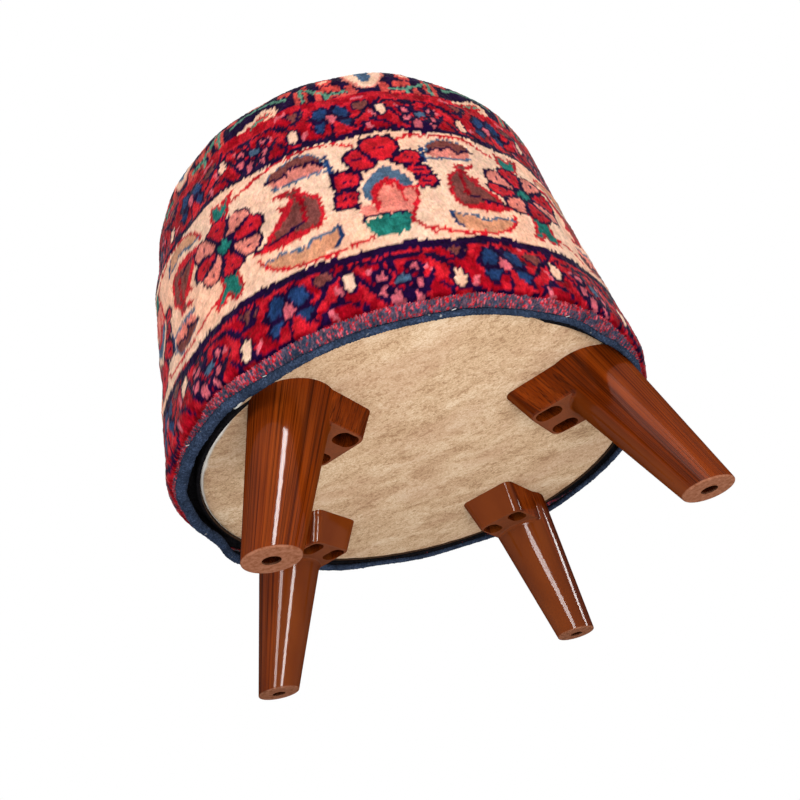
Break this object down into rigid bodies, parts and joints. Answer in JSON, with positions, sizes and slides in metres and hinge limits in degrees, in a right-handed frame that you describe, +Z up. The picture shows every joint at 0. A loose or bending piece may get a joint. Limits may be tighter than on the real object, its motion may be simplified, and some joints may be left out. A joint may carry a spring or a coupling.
{
  "type": "pouf",
  "caption": "Round footstool: a drum covered in oriental knotted rug, with a crowned padded seat, a beige covered base and splayed wood-look legs.",
  "frame": {"origin": "on the floor, under the middle of the drum", "axes": "+Z up along the drum's axis, -Y towards the front"},
  "size_m": [0.4014, 0.399, 0.437],
  "materials": {
    "leg_plastic": "glossy wood-print moulding",
    "steel": "plated steel",
    "plywood": "raw plywood",
    "timber": "sawn softwood",
    "hardboard": "dark hardboard",
    "base_cloth": "short suede-like nap",
    "wadding": "felted wadding",
    "black_cloth": "black cotton",
    "foam": "open-cell foam",
    "rug_pile": "knotted wool pile",
    "edge_wool": "wool overcasting"
  },
  "bodies": {
    "root": {"leg_front_left": "leg_plastic", "leg_front_right": "leg_plastic", "leg_rear_left": "leg_plastic", "leg_rear_right": "leg_plastic", "leg_screws": "steel", "base_board": "plywood", "base_cover": "base_cloth", "cover_staples": "steel", "frame_post_1": "timber", "frame_post_2": "timber", "frame_post_3": "timber", "frame_post_4": "timber", "frame_post_5": "timber", "frame_post_6": "timber", "post_screws_lower": "steel", "post_screws_upper": "steel", "top_board": "plywood", "drum_panel": "hardboard", "drum_pins_lower": "steel", "drum_pins_upper": "steel", "side_padding": "wadding", "rim_lining": "black_cloth", "seat_foam": "foam", "rug_band": "rug_pile", "back_seam": "rug_pile", "rug_top": "rug_pile", "top_seam": "edge_wool", "selvedge": "edge_wool", "rug_staples": "steel"}
  },
  "joints": []
}
